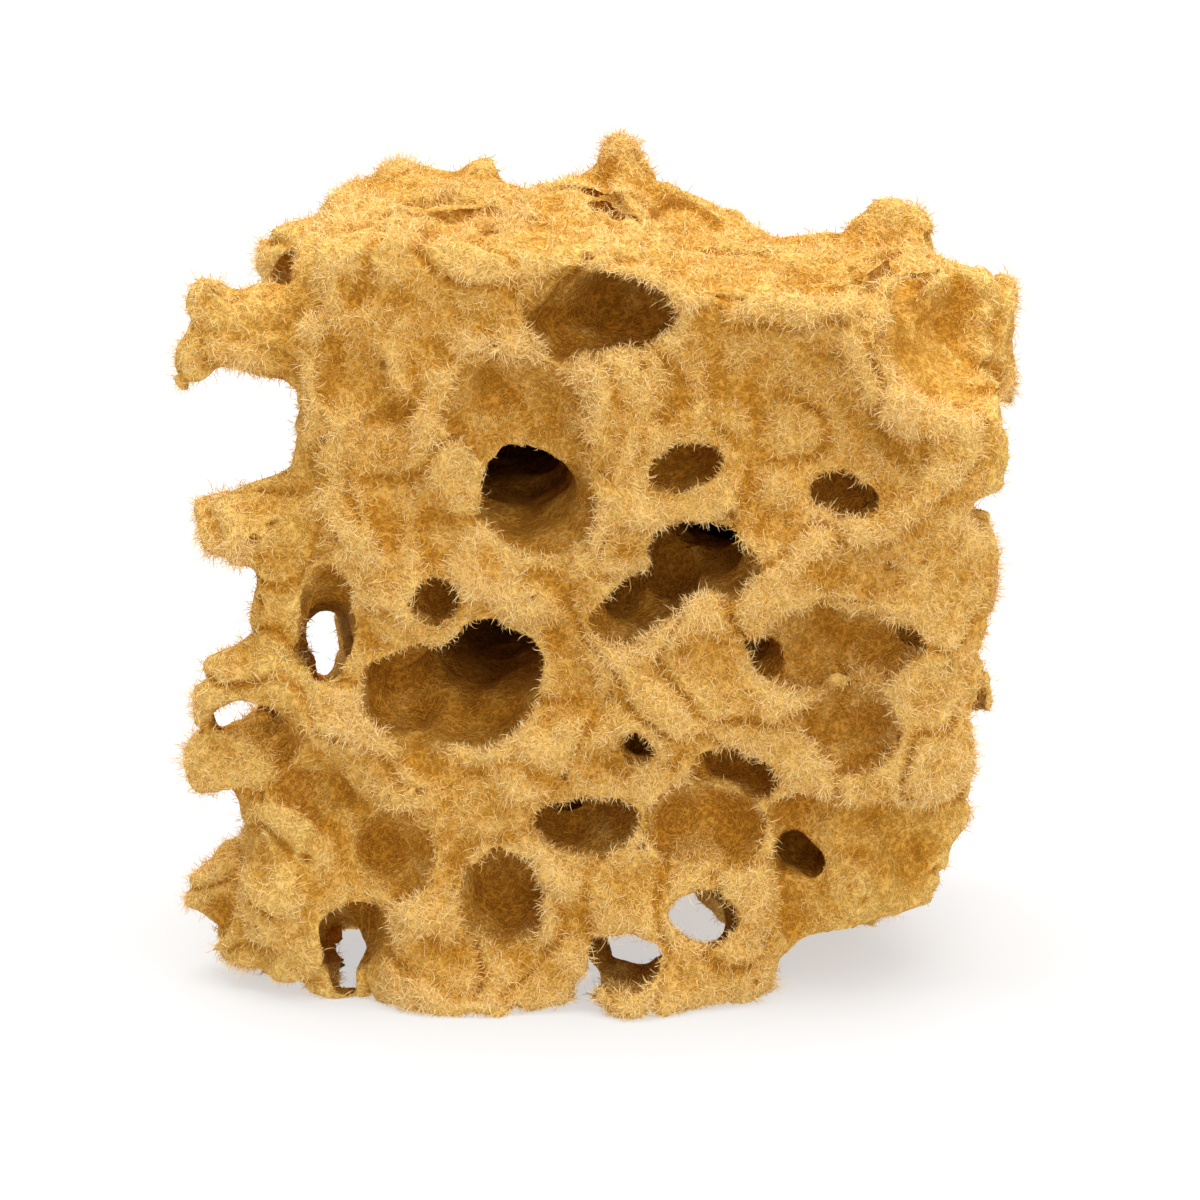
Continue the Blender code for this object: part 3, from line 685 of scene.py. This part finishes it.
@dataclass(frozen=True)
class Coat:
    """One coat of fibres over part of the skin.

    A fibre is a bent sliver: a point at the root, one or two pairs of side points, and a point at the tip.
    Each step along it turns the heading by the curl, so that with two steps it is a bent kite and with
    three a small hook. A pair of numbers is the least and the spread of a draw, or two limits.
    """

    name: str
    sides: tuple
    nap: Nap
    seed: int
    fibres: int
    cut: Cut
    steps: int = 3
    roll: float = 0.35
    rooted: float = 0.08
    length_draw: tuple = (0.5, 0.9)
    length_power: float = 1.6
    lift_draw: tuple = (0.4, 1.6)
    inner_length: float = 0.3
    inner_depth: float = 3.0
    nook_loss: float = 0.5
    veer: float = 0.4
    lean: float = 1.1
    stray: float = 1.1
    flat_stray: float = 0.35
    channel_run: tuple = (0.6, 1.6, 0.6)
    tone_spread: float = 0.20
    tone_limits: tuple = (0.03, 0.97)
    edge_shift: float = 0.012
    tip_margin: float = 0.02
    lean_seed: int = 300
    tuft_seed: int = 500
    growth: Growth = Growth()

    def _density(self, skin: Skin) -> np.ndarray:
        """How thickly each triangle is planted: its area times the nap's share, on the coat's own sides."""
        corners = skin.points[skin.triangles]
        area = np.linalg.norm(np.cross(corners[:, 1] - corners[:, 0], corners[:, 2] - corners[:, 0]), axis=1)
        here = np.isin(skin.side[skin.triangles[:, 0]], [side.value for side in self.sides])
        return area * self.growth.share(self.nap, skin, self.seed + self.tuft_seed) * here

    def paths(self, skin: Skin) -> tuple[np.ndarray, np.ndarray, np.ndarray]:
        """Where every fibre runs.

        Args:
            skin: the body's surface.

        Returns:
            Points along each fibre, shape (fibres, steps + 1, 3); the way each one faces; tones.
        """
        rng = np.random.default_rng(self.seed)
        weight = np.cumsum(self._density(skin))
        pick = np.searchsorted(weight, rng.random(self.fibres) * weight[-1])
        share = rng.dirichlet((1.0, 1.0, 1.0), self.fibres)
        corners = skin.triangles[pick]
        root, normal = (
            (values[corners] * share[:, :, None]).sum(1) for values in (skin.points, skin.normals)
        )
        normal = unit(normal)
        # Each fibre takes the skin's tone under its root, painted highlights and shade included.
        shelter, nook, tone = (
            (values[corners] * share).sum(1) for values in (skin.shelter, skin.nook, skin.tone)
        )
        heading = self._heading(root, normal, rng)
        least, spread = self.length_draw
        grown = self.cut.length * (least + spread * rng.random(self.fibres) ** self.length_power)
        if self.nap is not Nap.BRUSH:
            fade = np.exp(-((shelter / self.inner_depth) ** 2))
            grown *= (self.inner_length + (1.0 - self.inner_length) * fade) * (1.0 - self.nook_loss * nook)
        step = (grown / self.steps)[:, None]
        turn = unit(np.cross(heading, unit(rng.normal(size=(self.fibres, 3)))))
        spots = [root - self.rooted * normal]
        for _ in range(self.steps):
            spots.append(spots[-1] + heading * step)
            heading = unit(heading + self.cut.curl * turn)
            turn = unit(turn + self.veer * unit(rng.normal(size=(self.fibres, 3))))
        tone = np.clip(tone + rng.normal(0.0, self.tone_spread, self.fibres), *self.tone_limits)
        facing = unit(normal + self.roll * rng.normal(size=(self.fibres, 3)))
        return np.stack(spots, axis=1), facing, tone

    def _heading(self, root: np.ndarray, normal: np.ndarray, rng: np.random.Generator) -> np.ndarray:
        """Which way each fibre sets out: up by the lift, along with its tuft, and a little its own way.

        Flat fibres run mostly from front to back, along the channels.
        """
        tuft = noise_field(root, self.cut.clump, self.seed + self.lean_seed)
        loose = rng.normal(size=root.shape)
        along = tuft * self.lean + loose * (self.flat_stray if self.nap is Nap.FLAT else self.stray)
        if self.nap is Nap.FLAT:
            along = along * np.array(self.channel_run)
        along -= (along * normal).sum(1, keepdims=True) * normal
        least, spread = self.lift_draw
        lift = self.cut.lift * (least + spread * rng.random((len(root), 1)) ** 2)
        return unit(normal * lift + along)

    def build(self, skin: Skin, finish: bpy.types.Material, room: np.ndarray) -> bpy.types.Object:
        """Grow the coat.

        Args:
            skin: the body's surface.
            finish: the fibres' material.
            room: the lowest and the highest corner that a fibre may reach, shape (2, 3).

        Returns:
            The coat as one mesh object.
        """
        spots, facing, tone = self.paths(skin)
        points, triangles, edge, along = slivers(spots, facing, self.cut.width)
        mesh = mesh_from(self.name, np.clip(points, *room), triangles)
        across = np.repeat(tone, 2 * self.steps) + self.edge_shift * edge
        up = self.tip_margin + (1.0 - 2.0 * self.tip_margin) * along
        spots = np.stack([across, up], axis=1).astype(np.float32)
        layer = mesh.uv_layers.new(name=FIBRE_MAP)
        layer.uv.foreach_set("vector", spots[triangles.ravel()].ravel())
        mesh.materials.append(finish)
        return linked(self.name, mesh)


def slivers(
    spots: np.ndarray, facing: np.ndarray, width: float
) -> tuple[np.ndarray, np.ndarray, np.ndarray, np.ndarray]:
    """Turn paths into flat tapering slivers that face outwards.

    A sliver's side points lie at each inner spot of its path, half a width to either side along the cross
    product of its heading and the facing. The first and last spots are single points.

    Args:
        spots: the paths, shape (n, steps + 1, 3).
        facing: the way each sliver faces, shape (n, 3).
        width: the widest part, in millimetres.

    Returns:
        Points; triangles; -1, 0 or 1 across each sliver; and 0 to 1 along it, for each point.
    """
    count, last = spots.shape[0], spots.shape[1] - 1
    columns = [spots[:, 0]]
    across = [0.0]
    along = [0.0]
    for k in range(1, last):
        heading = unit(spots[:, k + 1] - spots[:, k - 1])
        half = 0.5 * width * (1.0 - SLIVER_TAPER * (k - 1)) * unit(np.cross(heading, facing))
        columns += [spots[:, k] - half, spots[:, k] + half]
        across += [-1.0, 1.0]
        along += [k / last, k / last]
    columns.append(spots[:, last])
    across.append(0.0)
    along.append(1.0)
    size = len(columns)
    faces = [(0, 2, 1)]
    for k in range(1, last - 1):
        low = 2 * k - 1
        faces += [(low, low + 1, low + 2), (low + 1, low + 3, low + 2)]
    faces.append((size - 3, size - 2, size - 1))
    start = (np.arange(count) * size)[:, None, None]
    triangles = (start + np.array(faces)[None]).reshape(-1, 3)
    points = np.stack(columns, axis=1).reshape(-1, 3)
    return points, triangles, np.tile(across, count), np.tile(along, count)


def read(items: object, name: str, width: int, kind: type = np.float32) -> np.ndarray:
    """A property of every item of a Blender collection, as rows of an array."""
    values = np.empty(len(items) * width, kind)
    items.foreach_get(name, values)
    return values.reshape(-1, width).astype(np.float64 if kind is np.float32 else np.int64)


def mesh_from(name: str, points: np.ndarray, triangles: np.ndarray) -> bpy.types.Mesh:
    """A smooth-shaded mesh from whole arrays.

    Args:
        name: the mesh's name.
        points: places in millimetres, shape (n, 3).
        triangles: point numbers, shape (m, 3).

    Returns:
        The mesh, in metres.
    """
    mesh = bpy.data.meshes.new(name)
    mesh.vertices.add(len(points))
    mesh.vertices.foreach_set("co", (points * MM).astype(np.float32).ravel())
    mesh.loops.add(triangles.size)
    mesh.loops.foreach_set("vertex_index", triangles.astype(np.int32).ravel())
    mesh.polygons.add(len(triangles))
    mesh.polygons.foreach_set("loop_start", np.arange(0, triangles.size, 3, dtype=np.int32))
    mesh.polygons.foreach_set("use_smooth", np.ones(len(triangles), bool))
    mesh.update(calc_edges=True)
    return mesh


def linked(name: str, data: object) -> bpy.types.Object:
    """A new object for this mesh, lamp or camera, in the scene."""
    made = bpy.data.objects.new(name, data)
    bpy.context.scene.collection.objects.link(made)
    return made


@dataclass
class FibreCoats:
    """All the coats of fibres. Each stays under 200,000 triangles, and all of them under a million."""

    curl_length: float = 1.35
    curl_width: float = 0.08
    flat_length: float = 0.60
    brush_length: float = 1.9
    proud: float = 0.7
    finish: FibreFinish = FibreFinish()

    def coats(self) -> list[Coat]:
        """The coats, from the face in the photograph to those that it hides."""
        front, back, flanks = (Side.FRONT,), (Side.BACK,), (Side.LEFT, Side.RIGHT)
        ends = (Side.TOP, Side.UNDER)
        long, wide = self.curl_length, self.curl_width
        over = Cut(1.1 * long, wide, lift=0.32, clump=1.0, curl=0.95)
        down = Cut(0.75 * long, wide, lift=0.25, clump=0.9, curl=1.1)
        fine = Cut(long, 1.1 * wide, lift=0.45, clump=1.2, curl=0.8)
        coarse = Cut(long, 1.2 * wide, lift=0.45, clump=1.2, curl=0.8)
        flat = Cut(self.flat_length, wide, lift=0.12, clump=3.0, curl=0.5)
        brush = Cut(self.brush_length, 0.8 * wide, lift=0.7, clump=1.0, curl=1.0)
        return [
            Coat("front_curls", front, Nap.CURLY, seed=1, fibres=49500, cut=over),
            Coat("front_down", front, Nap.CURLY, seed=2, fibres=49500, cut=down),
            Coat("flank_curls", flanks, Nap.CURLY, seed=3, fibres=40000, cut=fine),
            Coat("back_curls", back, Nap.CURLY, seed=4, fibres=32000, cut=coarse),
            Coat("top_curls", ends, Nap.CURLY, seed=5, fibres=36000, cut=fine),
            Coat("channel_felt", tuple(Side), Nap.FLAT, seed=6, fibres=40000, cut=flat, steps=2),
            Coat("rim_brush", tuple(Side), Nap.BRUSH, seed=7, fibres=22000, cut=brush),
        ]

    def build(self, skin: Skin, solid: tuple) -> list[bpy.types.Object]:
        """Grow every coat with one material.

        Args:
            skin: the body's surface.
            solid: the CAD box in metres. Fibres stand proud of it by less than a millimetre, and never go
                under the floor.

        Returns:
            The coats.
        """
        finish = self.finish.material()
        room = np.array(solid, dtype=float) / MM + self.proud * np.array([[-1.0], [1.0]])
        room[0, 2] = 0.0
        return [coat.build(skin, finish, room) for coat in self.coats()]


@dataclass(frozen=True)
class SoftSun:
    """One broad soft light.

    Its tilt is how far it leans from overhead towards the camera, or away if negative, and its turn is how
    far that lean goes round to the right.
    """

    name: str
    strength: float
    tilt_deg: float
    turn_deg: float = 0.0
    angle_deg: float = 60.0

    def build(self) -> None:
        """Hang the light."""
        data = bpy.data.lights.new(self.name, "SUN")
        data.energy = self.strength
        data.angle = math.radians(self.angle_deg)
        lamp = linked(self.name, data)
        lamp.rotation_euler = (math.radians(self.tilt_deg), 0.0, math.radians(self.turn_deg))


@dataclass
class Studio:
    """A plain white floor, a soft light overhead, a weaker one at the camera, a pale sky, and the camera."""

    floor_size_m: float = 12.0
    floor_drop: float = 0.02
    floor_colour: tuple = (0.31, 0.31, 0.31, 1.0)
    floor_roughness: float = 0.9
    floor_specular: float = 0.1
    floor_glow: float = 0.55
    glow_colour: tuple = (1.0, 1.0, 1.0, 1.0)
    suns: tuple = (SoftSun("overhead", 3.4, -6.0), SoftSun("camera_side", 1.20, 60.0, turn_deg=22.0))
    sky_colour: tuple = (0.99, 0.995, 1.0, 1.0)
    sky_strength: float = 0.62
    target_m: tuple = (0.0, 0.0026, 0.0357)
    distance_m: float = 0.600
    nearest_m: float = 0.02
    elevation_deg: float = 11.0
    lens_mm: float = 170.0
    sensor_mm: float = 36.0

    def camera(self) -> None:
        """The camera: a little above the photograph's subject, straight at the front face."""
        data = bpy.data.cameras.new("camera")
        data.lens = self.lens_mm
        data.sensor_width = self.sensor_mm
        data.clip_start = self.nearest_m
        tilt = math.radians(self.elevation_deg)
        back = Vector((0.0, -math.cos(tilt), math.sin(tilt)))
        camera = linked("camera", data)
        camera.location = Vector(self.target_m) + back * self.distance_m
        camera.rotation_euler = (math.radians(90.0 - self.elevation_deg), 0.0, 0.0)
        bpy.context.scene.camera = camera

    def lights(self) -> None:
        """The soft lights and the sky, with plain colour handling."""
        for sun in self.suns:
            sun.build()
        world = bpy.data.worlds.new("sky")
        world.use_nodes = True
        sky = world.node_tree.nodes["Background"].inputs
        sky["Color"].default_value = self.sky_colour
        sky["Strength"].default_value = self.sky_strength
        bpy.context.scene.world = world
        bpy.context.scene.view_settings.view_transform = "Standard"

    def floor(self) -> bpy.types.Object:
        """The white floor, a square grid whose points are (u, v) times its size."""
        line = np.linspace(-0.5, 0.5, 3) * self.floor_size_m / MM
        u, v = np.meshgrid(line, line, indexing="ij")
        points = np.stack([u.ravel(), v.ravel(), np.full(u.size, -self.floor_drop)], axis=1)
        low = (np.arange(2)[:, None] * 3 + np.arange(2)).ravel()
        squares = np.stack([low, low + 3, low + 4, low + 1], axis=1)
        mesh = mesh_from("floor", points, squares[:, [0, 1, 2, 0, 2, 3]].reshape(-1, 3))
        shader = Shader("studio_white")
        shader.set(Base_Color=self.floor_colour, Roughness=self.floor_roughness)
        shader.set(Specular_IOR_Level=self.floor_specular)
        shader.set(Emission_Color=self.glow_colour, Emission_Strength=self.floor_glow)
        mesh.materials.append(shader.material)
        return linked("floor", mesh)


def main() -> None:
    """Build the studio, the body and its fibres, and say what each piece stands for."""
    logging.basicConfig(level=logging.INFO)
    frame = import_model()
    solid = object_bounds()
    studio = Studio()
    studio.camera()
    studio.lights()
    studio.floor()
    body, skin = SpongeBody().build(frame["nodes"][NODE])
    for piece in body:
        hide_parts(NODE)
    for piece in [*body, *FibreCoats().build(skin, solid)]:
        LOG.info("%s: %d triangles", piece.name, len(piece.data.polygons))
        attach(piece, BODY)


if __name__ == "__main__":
    main()
